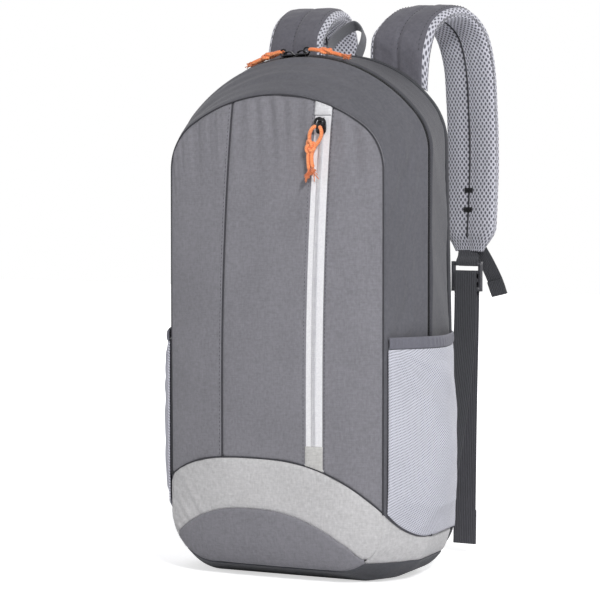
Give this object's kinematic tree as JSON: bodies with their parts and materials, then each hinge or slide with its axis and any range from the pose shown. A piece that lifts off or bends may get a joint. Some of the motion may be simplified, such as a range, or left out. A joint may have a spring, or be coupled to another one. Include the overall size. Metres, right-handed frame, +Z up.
{
  "type": "daypack",
  "caption": "Small upright daypack with an arched main zip, a vertical front zip pocket, mesh side pockets and padded shoulder straps.",
  "frame": {"origin": "on the flat underside of the base, below the middle of the bag", "axes": "+Z up, -Y out of the front panel, +Y towards the wearer, +X to the viewer's right when facing the front"},
  "size_m": [0.2504, 0.2428, 0.4429],
  "materials": {
    "grey_cloth": "satin-dull woven polyester",
    "dark_cloth": "woven polyester",
    "charcoal_cloth": "woven polyester",
    "pale_cloth": "woven polyester",
    "white_tape": "woven zip tape",
    "mesh_cloth": "polyester mesh",
    "foam": "foam sheet and lining",
    "webbing": "ribbed polyester webbing",
    "coil": "nylon zip coil",
    "orange_cord": "braided cord",
    "slider": "black painted zinc",
    "buckle": "moulded acetal"
  },
  "bodies": {
    "bag": {"rear_gusset": "charcoal_cloth", "front_gusset_left": "dark_cloth", "front_gusset_right": "dark_cloth", "side_band_left": "pale_cloth", "side_band_right": "pale_cloth", "base_panel": "charcoal_cloth", "light_band": "pale_cloth", "toe_panel": "grey_cloth", "front_panel_left": "grey_cloth", "front_panel_centre": "grey_cloth", "front_panel_right": "grey_cloth", "front_pocket_lining": "foam", "front_zip_tape": "white_tape", "front_zip_coil": "white_tape", "front_zip_end_bottom": "pale_cloth", "main_zip_tape_rear": "webbing", "main_zip_coil_rear": "coil", "main_zip_tape_left": "webbing", "main_zip_tape_right": "webbing", "main_zip_coil_left": "coil", "main_zip_coil_right": "coil", "back_lining": "webbing", "back_foam": "foam", "back_cover": "mesh_cloth", "mesh_pocket_left": "mesh_cloth", "mesh_pocket_right": "mesh_cloth", "pocket_binding_left": "charcoal_cloth", "pocket_binding_right": "charcoal_cloth", "webbing_anchor_left": "webbing", "webbing_anchor_right": "webbing"},
    "flap": {"front_gusset_top": "dark_cloth", "front_panel_top": "grey_cloth", "front_zip_tape_top": "white_tape", "front_zip_coil_top": "coil", "front_zip_end_top": "white_tape", "main_zip_tape_front": "webbing", "main_zip_coil_front": "coil"},
    "front_slider": {"front_zip_slider": "slider"},
    "front_pull": {"front_pull": "orange_cord"},
    "haul_loop": {"haul_loop": "webbing"},
    "main_slider_left": {"main_slider_left": "slider"},
    "main_pull_left": {"main_pull_left": "orange_cord"},
    "strap_left": {"strap_foam_left": "foam", "strap_cover_left": "dark_cloth", "strap_mesh_left": "mesh_cloth", "strap_tab_left": "webbing", "grab_tab_left": "webbing", "ladder_lock_left": "buckle", "adjuster_left": "webbing"},
    "tail_left": {"webbing_tail_left": "webbing"},
    "main_slider_right": {"main_slider_right": "slider"},
    "main_pull_right": {"main_pull_right": "orange_cord"},
    "strap_right": {"strap_foam_right": "foam", "strap_cover_right": "dark_cloth", "strap_mesh_right": "mesh_cloth", "strap_tab_right": "webbing", "grab_tab_right": "webbing", "ladder_lock_right": "buckle", "adjuster_right": "webbing"},
    "tail_right": {"webbing_tail_right": "webbing"}
  },
  "joints": [
    {"name": "main_opening", "type": "hinge", "parent": "bag", "child": "flap", "pos_m": [0, -0.046, 0.338], "axis": [1, 0, 0], "range_deg": [0, 25]},
    {"name": "main_zip_left", "type": "hinge", "parent": "bag", "child": "main_slider_left", "pos_m": [0, 0.004, 0.269], "axis": [0, -1, 0], "range_deg": [0, 41]},
    {"name": "main_zip_right", "type": "hinge", "parent": "bag", "child": "main_slider_right", "pos_m": [0, 0.004, 0.269], "axis": [0, 1, 0], "range_deg": [0, 41]},
    {"name": "main_pull_swing_left", "type": "hinge", "parent": "main_slider_left", "child": "main_pull_left", "pos_m": [-0.01935, 0.0046, 0.40422], "axis": [0, 1, 0], "range_deg": [0, 90]},
    {"name": "main_pull_swing_right", "type": "hinge", "parent": "main_slider_right", "child": "main_pull_right", "pos_m": [0.00273, 0.0046, 0.40557], "axis": [0, -1, 0], "range_deg": [0, 90]},
    {"name": "front_zip", "type": "hinge", "parent": "flap", "child": "front_slider", "pos_m": [0.0425, 1.3937, 0.148], "axis": [-1, 0, 0], "range_deg": [-9, 0]},
    {"name": "front_pull_swing", "type": "hinge", "parent": "front_slider", "child": "front_pull", "pos_m": [0.0425, -0.0475, 0.3445], "axis": [-1, 0, 0], "range_deg": [0, 25]},
    {"name": "haul_loop_fold", "type": "hinge", "parent": "bag", "child": "haul_loop", "pos_m": [0, 0.0675, 0.4018], "axis": [1, 0, 0], "range_deg": [-40, 28], "stiffness_Nm_per_rad": 0.002},
    {"name": "strap_swing_left", "type": "hinge", "parent": "bag", "child": "strap_left", "pos_m": [-0.047, 0.073, 0.395], "axis": [0.1177, 0.0085, 0.993], "range_deg": [-8, 5], "stiffness_Nm_per_rad": 0.2},
    {"name": "strap_swing_right", "type": "hinge", "parent": "bag", "child": "strap_right", "pos_m": [0.047, 0.073, 0.395], "axis": [0.1177, -0.0085, -0.993], "range_deg": [-8, 5], "stiffness_Nm_per_rad": 0.2},
    {"name": "tail_swing_left", "type": "hinge", "parent": "strap_left", "child": "tail_left", "pos_m": [-0.0665, 0.1575, 0.229], "axis": [1, 0, 0], "range_deg": [0, 35]},
    {"name": "tail_swing_right", "type": "hinge", "parent": "strap_right", "child": "tail_right", "pos_m": [0.0665, 0.1575, 0.229], "axis": [1, 0, 0], "range_deg": [0, 35]}
  ],
  "couplings": [
    {"joint": "main_zip_left", "follows": "main_opening", "ratio": 1.64},
    {"joint": "main_zip_right", "follows": "main_opening", "ratio": 1.64},
    {"joint": "front_pull_swing", "follows": "main_opening", "ratio": 1}
  ]
}
